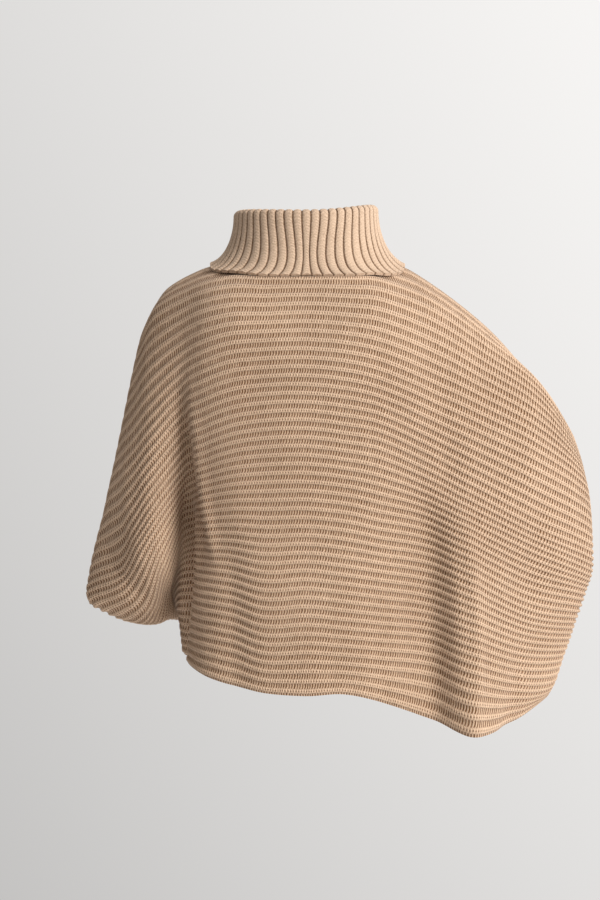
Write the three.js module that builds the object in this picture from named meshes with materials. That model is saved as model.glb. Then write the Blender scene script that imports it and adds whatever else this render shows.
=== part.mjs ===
// A knitted poncho sweater with a turned-down roll collar, kept in the shape it has when it is worn.
// Two wide rectangles, knitted sideways so that their ribs lie level, are sewn along the shoulders and
// up the sides as far as the arm openings. The collar is a ribbed tube, folded over once.
// Millimetres, +Z up. The garment faces -Y, so its back is towards +Y and its left side towards +X.
// The origin is the middle of the neck opening, level with the shoulders.
import * as THREE from "three";

// Cut and gauge
const RIB_PITCH = 12; // one raised rib and the groove beside it
const RIBS_DOWN = 49; // ribs from the shoulder seam to the hem
const LENGTH = RIB_PITCH * RIBS_DOWN;
const SEAM_TOP = 24 * RIB_PITCH; // the arm opening above it, the side seam below
const HALF_WIDTH = 480;
const NECK_SHARE = 0.2; // half the neck opening as a share of half the panel's width
const NECK_DROP = { back: 8, front: 40 };

// Collar, over its middle line
const COLLAR_RIBS = 50;
const FOLD_RADIUS = 5; // half the space between the stand and the turned-down layer
const FOOT_REACH = 0.5; // how far the stand carries on before it turns upwards
const STAND = { halfWidth: 88.4, back: 78, front: 80 };
const FOLD_TOP = { left: 71, right: 79, back: 64, front: 63 };
// where the turned-down edge lies on the panels: its share of their half width, and how far down them it is
const EDGE = { share: 0.285, back: 27, front: 54, corner: 10, roundness: 0.7 };
const EDGE_BEYOND = 1.05; // a place just outside the edge, as a multiple, to aim the collar's fall at

// Cloth
const INSIDE = -1.8; // plain inner face, from the middle of the wall
const GROOVE = 0.9; // outer face at the bottom of a groove
const CREST = 3.1; // outer face on top of a rib
const SEAM_GAP = 0.5;
const REST_GAP = 0.8; // between the collar's edge and the ribs that it lies on
const SHARPEST_MITRE = 0.5;
const FULL_RISE = 0.7; // ribs no closer together than this share of their pitch stand to their full height
const SEAM_BLEND = 25; // the two panels share one outward direction at a seam, and lose it over this
const SAME_PLACE = 0.0001; // points no further apart than this are one

// Facets
const EDGE_COLUMNS = 9; // from a side edge to the neck, closer together near the edge
const NECK_COLUMNS = 8; // across the neck opening
const EDGE_GRADING = 1.4;
const INNER_CLOSE = [264, 540]; // the inner face's rows are close together here, round the left underarm
const COLLAR_STEPS = { stand: 3, fold: 3, fall: 5 };
const PROBE = 2; // mm either side of a point, to feel the cloth's slope
const COLLAR_PROBE = 0.02; // the same along the collar, where its stand, its fold and its fall are 1 each

// The shoulder seam, from each sleeve to the neck: [x, y, z] where each line of a panel starts.
const SHOULDER = {
  left: { edge: [240, -84, -258], outer: [226, -28, -100], cuff: [211, -16, -63], sleeve: [190, -6, -34],
    under: [150, -2, -12], blade: [122, -1, -3], neck: [95, 0, 6] },
  right: { neck: [-95, 0, 6], blade: [-150, -1, -14], crease: [-250, -8, -88], sleeve: [-315, -28, -162],
    outer: [-352, -48, -215], edge: [-366, -72, -245] },
};

// The side seam, from the foot of the arm opening to the hem: [down the cloth from the shoulder, x, y, z].
const SIDE_SEAM = {
  left: [[288, 301, -10, -480], [340, 258, -28, -502], [390, 222, -52, -509], [440, 197, -84, -507],
    [490, 178, -110, -512], [540, 158, -129, -520], [588, 140, -140, -537]],
  right: [[288, -397, -28, -440], [340, -390, -40, -467], [390, -381, -47, -494], [440, -372, -50, -521],
    [490, -362, -46, -548], [540, -352, -36, -575], [588, -345, -22, -602]],
};

// Edges of the arm openings, and the lines that run down each panel between them: [down, x, y, z] as above.
// The lines at the neck's sides start at the shoulder seam, those between them round the neck itself.
const BACK_LINES = {
  edgeLeft: [[40, 252, -84, -297], [90, 266, -82, -345], [140, 278, -76, -390], [190, 290, -62, -430],
    [240, 303, -38, -461]],
  outerLeft: [[40, 235, -5, -130], [140, 268, 0, -290], [240, 299, 1, -432], [288, 297, 5, -473],
    [340, 236, 6, -499], [390, 207, -12, -503], [440, 193, -44, -499], [490, 182, -66, -499],
    [540, 169, -80, -505], [588, 163, -86, -537]],
  cuffLeft: [[40, 224, 20, -102], [140, 242, 44, -261], [190, 247, 50, -333], [240, 249, 50, -403],
    [288, 249, 46, -450], [340, 214, 34, -474], [390, 199, 8, -474], [440, 190, -24, -478],
    [490, 183, -44, -491], [540, 173, -57, -507], [588, 168, -61, -543]],
  sleeveLeft: [[0, 190, -6, -34], [40, 207, 40, -78], [140, 212, 72, -223], [240, 213, 82, -342],
    [288, 206, 84, -380], [340, 198, 64, -422], [390, 191, 30, -446], [440, 189, -6, -456],
    [490, 184, -24, -478], [540, 177, -32, -506], [588, 172, -34, -546]],
  underLeft: [[40, 158, 70, -54], [140, 167, 90, -176], [240, 166, 68, -280], [288, 166, 53, -318],
    [340, 167, 44, -356], [390, 168, 38, -392], [440, 170, 30, -425], [490, 170, 26, -465],
    [540, 168, 26, -513], [588, 165, 30, -556]],
  bladeLeft: [[40, 132, 86, -46], [140, 138, 112, -160], [240, 138, 104, -262], [340, 140, 92, -346],
    [440, 140, 82, -425], [540, 140, 76, -520], [588, 138, 76, -570]],
  neckLeft: [[40, 100, 94, -41], [140, 100, 124, -147], [240, 100, 123, -248], [340, 100, 118, -340],
    [440, 100, 108, -430], [540, 100, 98, -528], [588, 100, 96, -581]],
  napeLeft: [[0, 68, 50, 3], [40, 60, 97, -42], [140, 55, 128, -143], [340, 55, 127, -340],
    [588, 55, 109, -590]],
  middle: [[0, 0, 75, -5], [42, 0, 98, -43], [140, 0, 129, -142], [240, 0, 131, -240], [340, 0, 128, -339],
    [440, 0, 121, -438], [540, 0, 115, -540], [588, 0, 113, -593]],
  napeRight: [[0, -68, 50, 3], [40, -60, 96, -42], [140, -55, 128, -147], [340, -55, 124, -345],
    [588, -50, 112, -591]],
  neckRight: [[40, -98, 87, -44], [140, -98, 121, -157], [240, -98, 123, -255], [340, -98, 116, -355],
    [440, -98, 108, -451], [540, -98, 106, -549], [588, -98, 104, -602]],
  bladeRight: [[40, -172, 62, -70], [140, -166, 107, -184], [240, -160, 106, -282], [340, -158, 96, -368],
    [440, -160, 86, -462], [540, -165, 79, -560], [588, -172, 78, -630]],
  creaseRight: [[40, -240, 48, -113], [140, -232, 92, -214], [240, -218, 96, -312], [340, -208, 104, -390],
    [440, -212, 106, -480], [540, -220, 103, -580], [588, -226, 103, -650]],
  sleeveRight: [[40, -318, 34, -170], [140, -315, 66, -254], [240, -312, 64, -360], [288, -310, 62, -397],
    [340, -306, 58, -438], [390, -304, 56, -481], [440, -298, 56, -516], [490, -294, 52, -556],
    [540, -293, 46, -599], [588, -288, 40, -636]],
  outerRight: [[40, -370, 6, -242], [140, -387, 4, -302], [240, -397, 2, -398], [288, -397, 2, -434],
    [340, -387, 2, -462], [390, -375, 2, -496], [440, -365, 2, -527], [490, -353, 2, -560],
    [540, -342, 2, -597], [588, -335, 2, -610]],
  edgeRight: [[40, -381, -58, -270], [90, -392, -46, -300], [140, -399, -36, -332], [190, -402, -30, -370],
    [240, -401, -28, -408]],
};
const FRONT_LINES = {
  edgeLeft: [[40, 236, -118, -280], [90, 228, -146, -318], [140, 224, -156, -362], [190, 232, -146, -408],
    [240, 264, -84, -452]],
  outerLeft: [[40, 222, -66, -140], [90, 206, -116, -220], [140, 194, -144, -302], [190, 190, -148, -348],
    [240, 192, -138, -390], [288, 205, -110, -425], [340, 204, -94, -458], [390, 196, -104, -476],
    [440, 178, -118, -490], [490, 160, -134, -501], [540, 140, -148, -515], [588, 124, -156, -540]],
  sleeveLeft: [[40, 190, -44, -68], [90, 178, -94, -150], [140, 162, -126, -240], [190, 152, -136, -292],
    [240, 148, -140, -335], [288, 148, -138, -378], [340, 150, -130, -420], [440, 134, -140, -478],
    [540, 106, -164, -515], [588, 95, -176, -546]],
  underLeft: [[40, 156, -38, -36], [90, 150, -82, -100], [140, 136, -110, -182], [190, 124, -124, -238],
    [240, 116, -132, -285], [288, 110, -136, -330], [340, 104, -138, -378], [440, 92, -142, -455],
    [540, 70, -160, -512], [588, 62, -170, -552]],
  bladeLeft: [[40, 128, -36, -22], [90, 124, -74, -70], [140, 114, -98, -130], [190, 100, -112, -186],
    [240, 88, -122, -236], [288, 78, -128, -282], [340, 66, -132, -334], [440, 48, -134, -428],
    [540, 30, -142, -510], [588, 25, -148, -556]],
  neckLeft: [[40, 98, -34, -12], [90, 99, -66, -50], [140, 96, -88, -94], [190, 82, -102, -142],
    [240, 66, -114, -192], [340, 35, -128, -294], [440, 0, -144, -400], [540, -32, -164, -515],
    [588, -45, -176, -566]],
  napeLeft: [[0, 66, -40, 8], [40, 66, -64, -18], [140, 56, -104, -104], [240, 30, -123, -203],
    [340, 2, -132, -305], [440, -30, -144, -409], [540, -60, -160, -519], [588, -72, -170, -572]],
  middle: [[0, 0, -60, 8], [60, 0, -86, -38], [140, -2, -112, -110], [240, -18, -127, -210],
    [340, -40, -134, -312], [440, -62, -140, -415], [540, -88, -148, -524], [588, -100, -152, -578]],
  napeRight: [[0, -66, -40, 8], [40, -66, -64, -18], [140, -66, -106, -105], [240, -72, -123, -204],
    [340, -82, -134, -306], [440, -98, -146, -414], [540, -117, -156, -530], [588, -128, -160, -588]],
  neckRight: [[40, -98, -34, -12], [90, -100, -66, -52], [140, -102, -88, -97], [240, -110, -112, -198],
    [340, -120, -130, -302], [440, -134, -150, -412], [540, -148, -170, -534], [588, -155, -178, -600]],
  bladeRight: [[40, -152, -34, -42], [140, -158, -82, -130], [240, -168, -106, -234], [340, -182, -122, -340],
    [440, -198, -134, -450], [540, -210, -140, -575], [588, -215, -142, -638]],
  creaseRight: [[40, -240, -44, -112], [140, -232, -88, -200], [240, -235, -108, -305],
    [340, -245, -122, -405], [440, -255, -136, -505], [540, -264, -146, -598], [588, -268, -150, -640]],
  sleeveRight: [[40, -300, -66, -185], [140, -285, -96, -262], [240, -298, -104, -360],
    [340, -312, -104, -445], [440, -316, -106, -526], [540, -314, -110, -592], [588, -310, -108, -624]],
  outerRight: [[40, -335, -85, -240], [140, -314, -108, -305], [240, -332, -86, -388], [288, -352, -72, -424],
    [340, -352, -74, -462], [440, -348, -76, -528], [540, -334, -70, -584], [588, -332, -62, -607]],
  edgeRight: [[40, -352, -92, -272], [90, -338, -110, -308], [140, -332, -116, -345], [190, -345, -104, -385],
    [240, -372, -70, -418]],
};

// A smooth curve through knots at uneven spacing, each knot's slope taken from its neighbours
function curveAt(at, points, s) {
  const last = at.length - 1;
  let k = 0;
  while (k < last - 1 && s > at[k + 1]) k++;
  const slope = (i) => {
    const a = Math.max(i - 1, 0);
    const b = Math.min(i + 1, last);
    return points[b].clone().sub(points[a]).divideScalar(at[b] - at[a]);
  };
  const span = at[k + 1] - at[k];
  const u = Math.min(Math.max((s - at[k]) / span, 0), 1);
  const [u2, u3] = [u * u, u * u * u];
  return points[k].clone().multiplyScalar(2 * u3 - 3 * u2 + 1)
    .addScaledVector(slope(k), (u3 - 2 * u2 + u) * span)
    .addScaledVector(points[k + 1], 3 * u2 - 2 * u3)
    .addScaledVector(slope(k + 1), (u3 - u2) * span);
}

const curve = (knots) => ({
  at: knots.map(([down]) => down),
  points: knots.map(([, x, y, z]) => new THREE.Vector3(x, y, z)),
});

// The shoulder seam on one side, for a share of the panel's half width
function seamPoint(share) {
  const points = Object.values(SHOULDER[share > 0 ? "left" : "right"]).map((p) => new THREE.Vector3(...p));
  if (share > 0) points.reverse();
  const run = [0];
  for (let i = 1; i < points.length; i++) run.push(run[i - 1] + points[i].distanceTo(points[i - 1]));
  return curveAt(run, points, ((Math.abs(share) - NECK_SHARE) / (1 - NECK_SHARE)) * run.at(-1));
}

// A panel's rows: for a distance down the cloth, the curve through all of its lines, from left to right.
class Panel {
  constructor(lines, outward) {
    this.outward = outward;
    this.lines = Object.entries(lines).map(([name, knots]) => {
      const side = name.endsWith("Left") ? "left" : "right";
      const start = SHOULDER[side][name.replace(/Left|Right/, "")];
      const all = start && knots[0][0] > 0 ? [[0, ...start], ...knots] : knots;
      const seam = name.startsWith("edge") ? SIDE_SEAM[side] : [];
      return { name, upper: curve([...all, ...seam.slice(0, 2)]), seam: seam.length ? curve(seam) : null };
    });
    this.anchors = { edgeLeft: 1, neckLeft: NECK_SHARE, middle: 0, neckRight: -NECK_SHARE, edgeRight: -1 };
    this.rows = new Map();
  }

  place(line, down) {
    const { at, points } = line.seam && down >= SEAM_TOP ? line.seam : line.upper;
    return curveAt(at, points, down);
  }

  row(down) {
    if (this.rows.has(down)) return this.rows.get(down);
    const points = this.lines.map((line) => this.place(line, down));
    const run = [0];
    for (let i = 1; i < points.length; i++) run.push(run[i - 1] + points[i].distanceTo(points[i - 1]));
    const anchored = this.lines.map((line, i) => [this.anchors[line.name], run[i]])
      .filter(([share]) => share !== undefined);
    const made = { points, run, anchored };
    this.rows.set(down, made);
    return made;
  }

  // share runs from 1 at the left edge through 0 at the middle to -1 at the right edge
  point(share, down) {
    const place = this.pointFree(share, down);
    if (down >= SEAM_BLEND || Math.abs(share) < NECK_SHARE) return place;
    const pull = seamPoint(share).sub(this.pointFree(share, 0));
    return place.addScaledVector(pull, 1 - down / SEAM_BLEND);
  }

  pointFree(share, down) {
    const { points, run, anchored } = this.row(down);
    let k = 0;
    while (k < anchored.length - 2 && share < anchored[k + 1][0]) k++;
    const [[s0, r0], [s1, r1]] = [anchored[k], anchored[k + 1]];
    return curveAt(run, points, r0 + ((share - s0) / (s1 - s0)) * (r1 - r0));
  }

  // the direction along a rib, and the cloth's run down per millimetre of its own length
  slopes(share, down) {
    const s = PROBE / HALF_WIDTH;
    const across = this.point(Math.min(share + s, 1), down).sub(this.point(Math.max(share - s, -1), down));
    const [above, below] = [Math.max(down - PROBE, 0), Math.min(down + PROBE, LENGTH)];
    const along = this.point(share, below).sub(this.point(share, above)).divideScalar(below - above);
    return [across.normalize(), along];
  }

  facing(share, down) {
    const [across, along] = this.slopes(share, down);
    return across.cross(along).multiplyScalar(this.outward).normalize();
  }

  // ribs lie flatter where the cloth is pulled on the slant and they crowd together
  ribRise(share, down) {
    const [across, along] = this.slopes(share, down);
    return Math.min(across.cross(along).length() / FULL_RISE, 1) ** 2;
  }
}

const back = new Panel(BACK_LINES, 1);
const front = new Panel(FRONT_LINES, -1);

// Outward direction of the wall: at a seam both panels use the direction half-way between their own.
function outwardAt(panel, share, down) {
  const own = panel.facing(share, down);
  const side = Math.sign(share);
  const fromSide = down >= SEAM_TOP - RIB_PITCH ? (1 - Math.abs(share)) * HALF_WIDTH : SEAM_BLEND;
  const fromNeckSide = Math.max(NECK_SHARE - Math.abs(share), 0) * HALF_WIDTH;
  const fromShoulder = Math.hypot(down, fromNeckSide);
  const near = Math.min(fromSide, fromShoulder);
  if (near >= SEAM_BLEND) return own;
  const seam = fromSide < fromShoulder ? [side, down] : [side * Math.max(Math.abs(share), NECK_SHARE), 0];
  const shared = back.facing(...seam).add(front.facing(...seam)).normalize();
  return own.lerp(shared, 1 - near / SEAM_BLEND).normalize();
}

// Half the seam gap, away from the other panel
function clearOfSeam(panel, share, down, outward) {
  const onShoulder = down === 0 && Math.abs(share) >= NECK_SHARE;
  const onSide = Math.abs(share) === 1 && down >= SEAM_TOP;
  if (!onShoulder && !onSide) return new THREE.Vector3();
  const inShare = share * (1 - (onSide ? PROBE / HALF_WIDTH : 0));
  const inDown = down + (onShoulder ? PROBE : 0);
  const inward = panel.point(inShare, inDown).sub(panel.point(share, down)).normalize();
  const lean = inward.add(panel.facing(share, down));
  return lean.addScaledVector(outward, -lean.dot(outward)).setLength(SEAM_GAP / 2);
}

function neckline(panel, share) {
  const across = Math.min(Math.abs(share) / NECK_SHARE, 1);
  return (panel === back ? NECK_DROP.back : NECK_DROP.front) * Math.sqrt(1 - across * across);
}

// Triangles of one solid, with points in the same place joined into one
class Solid {
  constructor() {
    this.points = [];
    this.known = new Map();
    this.triangles = [];
  }

  add(point) {
    const key = point.toArray().map((v) => Math.round(v / SAME_PLACE)).join();
    if (!this.known.has(key)) this.known.set(key, this.points.push(point) - 1);
    return this.known.get(key);
  }

  triangle(a, b, c) {
    if (a !== b && b !== c && c !== a) this.triangles.push(a, b, c);
  }

  outerFace(rows) {
    for (let i = 0; i < rows.length - 1; i++) {
      for (let j = 0; j < rows[i].length - 1; j++) {
        this.triangle(rows[i][j], rows[i + 1][j], rows[i][j + 1]);
        this.triangle(rows[i][j + 1], rows[i + 1][j], rows[i + 1][j + 1]);
      }
    }
  }

  innerFace(rows) {
    for (let i = 0; i < rows.length - 1; i++) {
      for (let j = 0; j < rows[i].length - 1; j++) {
        this.triangle(rows[i + 1][j], rows[i][j], rows[i][j + 1]);
        this.triangle(rows[i + 1][j], rows[i][j + 1], rows[i + 1][j + 1]);
      }
    }
  }

  // the edge of the wall, from a run of outer points to a run of inner points
  rim(outer, inner) {
    const apart = (i, j) => (i < outer.length && j < inner.length
      ? this.points[outer[i]].distanceTo(this.points[inner[j]]) : Infinity);
    let [i, j] = [0, 0];
    while (i < outer.length - 1 || j < inner.length - 1) {
      if (apart(i + 1, j) <= apart(i, j + 1)) {
        this.triangle(outer[i], outer[i + 1], inner[j]);
        i++;
      } else {
        this.triangle(outer[i], inner[j + 1], inner[j]);
        j++;
      }
    }
  }

  mesh(name, material) {
    const places = this.points.flatMap((point) => point.toArray());
    const geometry = new THREE.BufferGeometry();
    geometry.setAttribute("position", new THREE.Float32BufferAttribute(places, 3));
    geometry.setIndex(this.triangles);
    geometry.computeVertexNormals();
    const mesh = new THREE.Mesh(geometry, material);
    mesh.name = name;
    return mesh;
  }
}

function panelColumns() {
  const shares = [];
  for (let k = 0; k < EDGE_COLUMNS; k++) {
    shares.push(1 - (1 - NECK_SHARE) * (k / EDGE_COLUMNS) ** EDGE_GRADING);
  }
  for (let k = 0; k < NECK_COLUMNS / 2; k++) shares.push(NECK_SHARE * Math.cos((k * Math.PI) / NECK_COLUMNS));
  return [...shares, 0, ...shares.map((share) => -share).reverse()];
}

// A point on one face of the wall. Inside a bend at a seam the wall reaches further, as a mitre does.
function wallPoint(panel, share, down, height) {
  const outward = outwardAt(panel, share, down);
  const mitre = height < 0 ? Math.max(outward.dot(panel.facing(share, down)), SHARPEST_MITRE) : 1;
  const relief = height > GROOVE ? (height - GROOVE) * panel.ribRise(share, down) + GROOVE : height;
  return panel.point(share, down).addScaledVector(outward, relief / mitre)
    .add(clearOfSeam(panel, share, down, outward));
}

function everyLevel(spacing) {
  const count = Math.round(LENGTH / spacing) + 1;
  return Array.from({ length: count }, (_, i) => i * spacing);
}

// Front or back: ribs raised on the outer face, a plain inner face, and the wall's edge all round
function panelSolid(panel) {
  const solid = new Solid();
  const shares = panelColumns();
  const face = (levels, height) => levels.map((level, i) => shares.map((share) => {
    const down = Math.max(level, neckline(panel, share));
    return solid.add(wallPoint(panel, share, down, height(i)));
  }));
  const outer = face(everyLevel(RIB_PITCH / 2), (i) => (i % 2 ? CREST : GROOVE));
  const close = panel === back ? INNER_CLOSE : [LENGTH, LENGTH];
  const innerLevels = everyLevel(RIB_PITCH).filter((down, i) => (
    i % 2 === 0 || i === RIBS_DOWN || (down > close[0] && down < close[1])));
  const inner = face(innerLevels, () => INSIDE);
  const column = (rows, j) => rows.map((row) => row[j]);
  const last = shares.length - 1;
  solid.outerFace(outer);
  solid.innerFace(inner);
  solid.rim(outer[0], inner[0]);
  solid.rim(column(outer, last), column(inner, last));
  solid.rim([...outer.at(-1)].reverse(), [...inner.at(-1)].reverse());
  solid.rim(column(outer, 0).reverse(), column(inner, 0).reverse());
  if (panel.outward < 0) solid.triangles.reverse();
  return solid;
}

// The collar's ring, counted in turns from the left shoulder: the back is at a quarter, the right at a half.
const ring = (turn) => [Math.cos(turn * 2 * Math.PI), Math.sin(turn * 2 * Math.PI)];
const panelAt = (turn) => (turn <= 0.5 ? back : front);

// Foot of the stand, just off the neckline: its place, and the way the stand leaves it
function collarFoot(turn) {
  const corner = (k) => {
    const panel = panelAt(k / (2 * NECK_COLUMNS));
    const share = NECK_SHARE * ring(k / (2 * NECK_COLUMNS))[0];
    const place = panel.point(share, neckline(panel, share));
    return { place, outward: outwardAt(panel, share, neckline(panel, share)) };
  };
  const k = Math.min(Math.floor(turn * 2 * NECK_COLUMNS), 2 * NECK_COLUMNS - 1);
  const part = turn * 2 * NECK_COLUMNS - k;
  const [a, b] = [corner(k), corner((k + 1) % (2 * NECK_COLUMNS))];
  const outward = a.outward.clone().lerp(b.outward, part).normalize();
  const leave = outward.clone().cross(b.place.clone().sub(a.place)).normalize();
  const place = a.place.clone().lerp(b.place, part).addScaledVector(leave, SEAM_GAP);
  return { place, leave };
}

function standTop(turn) {
  const [c, s] = ring(turn);
  const depth = s > 0 ? STAND.back : STAND.front;
  const side = (c > 0 ? FOLD_TOP.left : FOLD_TOP.right) * c * c;
  const end = (s > 0 ? FOLD_TOP.back : FOLD_TOP.front) * s * s;
  const place = new THREE.Vector3(c * STAND.halfWidth, s * depth, side + end - FOLD_RADIUS - CREST);
  const away = new THREE.Vector3(c / STAND.halfWidth, s / depth, 0).normalize();
  return { place, away };
}

function collarEdge(turn) {
  const [c, s] = ring(turn);
  const panel = panelAt(turn);
  const share = EDGE.share * c;
  const depth = (s > 0 ? EDGE.back : EDGE.front) * Math.abs(s) ** EDGE.roundness;
  const down = depth + EDGE.corner * Math.abs(s * c);
  const outward = outwardAt(panel, share, down);
  const place = panel.point(share, down);
  const leave = panel.point(share * EDGE_BEYOND, down * EDGE_BEYOND).sub(place).normalize();
  return { place: place.addScaledVector(outward, CREST - INSIDE + REST_GAP), leave };
}

const UP = new THREE.Vector3(0, 0, 1);
function hermite(a, leaveA, b, arriveB, u) {
  const reach = a.distanceTo(b);
  return a.clone().multiplyScalar(2 * u ** 3 - 3 * u ** 2 + 1)
    .addScaledVector(leaveA, (u ** 3 - 2 * u ** 2 + u) * reach)
    .addScaledVector(b, 3 * u ** 2 - 2 * u ** 3)
    .addScaledVector(arriveB, (u ** 3 - u ** 2) * reach);
}

// Middle of the collar's wall: the stand for v 0 to 1, the fold to 2, the turned-down layer to 3
function collarPoint(turn, v) {
  const wrapped = turn - Math.floor(turn);
  const { place, away } = standTop(wrapped);
  if (v <= 1) {
    const foot = collarFoot(wrapped);
    return hermite(foot.place, foot.leave.multiplyScalar(FOOT_REACH), place, UP, v);
  }
  if (v <= 2) {
    const turned = (v - 1) * Math.PI;
    return place.addScaledVector(away, FOLD_RADIUS * (1 - Math.cos(turned)))
      .addScaledVector(UP, FOLD_RADIUS * Math.sin(turned));
  }
  const edge = collarEdge(wrapped);
  const start = place.addScaledVector(away, 2 * FOLD_RADIUS);
  return hermite(start, UP.clone().negate(), edge.place, edge.leave, v - 2);
}

// The face that shows: towards the neck on the stand, outwards once the collar is turned down
function collarFacing(turn, v) {
  const halfRib = 1 / (2 * COLLAR_RIBS);
  const round = collarPoint(turn + halfRib, v).sub(collarPoint(turn - halfRib, v));
  const above = collarPoint(turn, Math.max(v - COLLAR_PROBE, 0));
  const along = collarPoint(turn, Math.min(v + COLLAR_PROBE, 3)).sub(above);
  return along.cross(round).normalize();
}

function collarSolid() {
  const solid = new Solid();
  const levels = [];
  Object.values(COLLAR_STEPS).forEach((steps, section) => {
    for (let k = 0; k < steps; k++) levels.push(section + k / steps);
  });
  levels.push(3);
  const face = (count, height) => levels.map((v) => {
    const row = [];
    for (let i = 0; i <= count; i++) {
      const turn = (i % count) / count;
      row.push(solid.add(collarPoint(turn, v).addScaledVector(collarFacing(turn, v), height(i))));
    }
    return row;
  });
  const shown = face(COLLAR_RIBS * 2, (i) => (i % 2 ? CREST : GROOVE));
  const hidden = face(COLLAR_RIBS, () => INSIDE);
  solid.outerFace(shown);
  solid.innerFace(hidden);
  solid.rim(shown[0], hidden[0]);
  solid.rim([...shown.at(-1)].reverse(), [...hidden.at(-1)].reverse());
  return solid;
}

const knit = (color) => new THREE.MeshStandardMaterial({ color, roughness: 0.95, metalness: 0 });
const poncho = new THREE.Group();
poncho.name = "poncho_sweater";
poncho.add(panelSolid(back).mesh("back_panel", knit(0xc9a684)));
poncho.add(panelSolid(front).mesh("front_panel", knit(0xc9a684)));
poncho.add(collarSolid().mesh("collar", knit(0xcdaa89)));
export default poncho;
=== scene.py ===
import math

import bmesh
import bpy
import numpy as np
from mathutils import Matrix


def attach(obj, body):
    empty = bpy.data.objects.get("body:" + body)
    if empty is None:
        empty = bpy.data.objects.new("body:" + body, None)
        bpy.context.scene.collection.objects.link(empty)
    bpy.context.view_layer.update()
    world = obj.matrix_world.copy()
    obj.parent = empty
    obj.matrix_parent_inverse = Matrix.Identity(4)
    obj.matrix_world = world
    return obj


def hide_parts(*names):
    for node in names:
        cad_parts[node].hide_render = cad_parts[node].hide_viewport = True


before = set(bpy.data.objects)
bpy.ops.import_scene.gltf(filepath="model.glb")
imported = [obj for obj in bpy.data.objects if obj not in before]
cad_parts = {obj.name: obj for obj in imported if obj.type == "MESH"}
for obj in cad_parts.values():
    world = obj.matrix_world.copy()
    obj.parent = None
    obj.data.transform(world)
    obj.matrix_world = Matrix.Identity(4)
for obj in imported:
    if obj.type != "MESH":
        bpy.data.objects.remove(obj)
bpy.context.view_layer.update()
scene = bpy.context.scene

# The camera
# It looks level at the back of the garment from 2.7 m, a little above the middle of the cloth, through a
# long lens.
CAMERA_PLACE = (0.0084, 2.7, -0.263)
CAMERA_LENS = 77.1  # mm, on a sensor whose long side is 36 mm

camera_data = bpy.data.cameras.new("camera")
camera_data.lens = CAMERA_LENS
camera = bpy.data.objects.new("camera", camera_data)
camera.location = CAMERA_PLACE
camera.rotation_euler = (math.radians(90), 0, math.radians(180))
scene.collection.objects.link(camera)
scene.camera = camera

# The body's cut and hang
# Two rectangles 960 mm wide and 588 mm long, knitted sideways in 49 level ribs, are sewn together along
# the shoulders and up the sides as far as the arm openings. The right sleeve is held out, and the left
# one hangs. Sizes are in millimetres, and each line of a panel runs down the cloth from the shoulder.
RIB_PITCH = 12
RIBS_DOWN = 49
LENGTH = RIB_PITCH * RIBS_DOWN
SEAM_TOP = 24 * RIB_PITCH  # the arm opening above it, the side seam below
HALF_WIDTH = 480
NECK_SHARE = 0.2  # half the neck opening as a share of half the panel's width
NECK_DROP = {"back": 8, "front": 40}
INSIDE = -1.8  # plain inner face, from the middle of the wall
SEAM_GAP = 0.5
SEAM_BLEND = 25  # the panels share one outward direction at a seam, and lose it over this
SHARPEST_MITRE = 0.5
FULL_RISE = 0.7  # ribs no closer together than this share of their pitch stand to their full height
PROBE = 2  # mm either side of a point, to feel the cloth's slope
MM = 0.001

# [x, y, z] where each line starts on the shoulder seam
SHOULDER = {
    "left": {"edge": [240, -84, -258], "outer": [226, -28, -100], "cuff": [211, -16, -63],
             "sleeve": [190, -6, -34], "under": [150, -2, -12], "blade": [122, -1, -3],
             "neck": [95, 0, 6]},
    "right": {"neck": [-95, 0, 6], "blade": [-150, -1, -14], "crease": [-250, -8, -88],
              "sleeve": [-315, -28, -162], "outer": [-352, -48, -215], "edge": [-366, -72, -245]},
}
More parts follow.
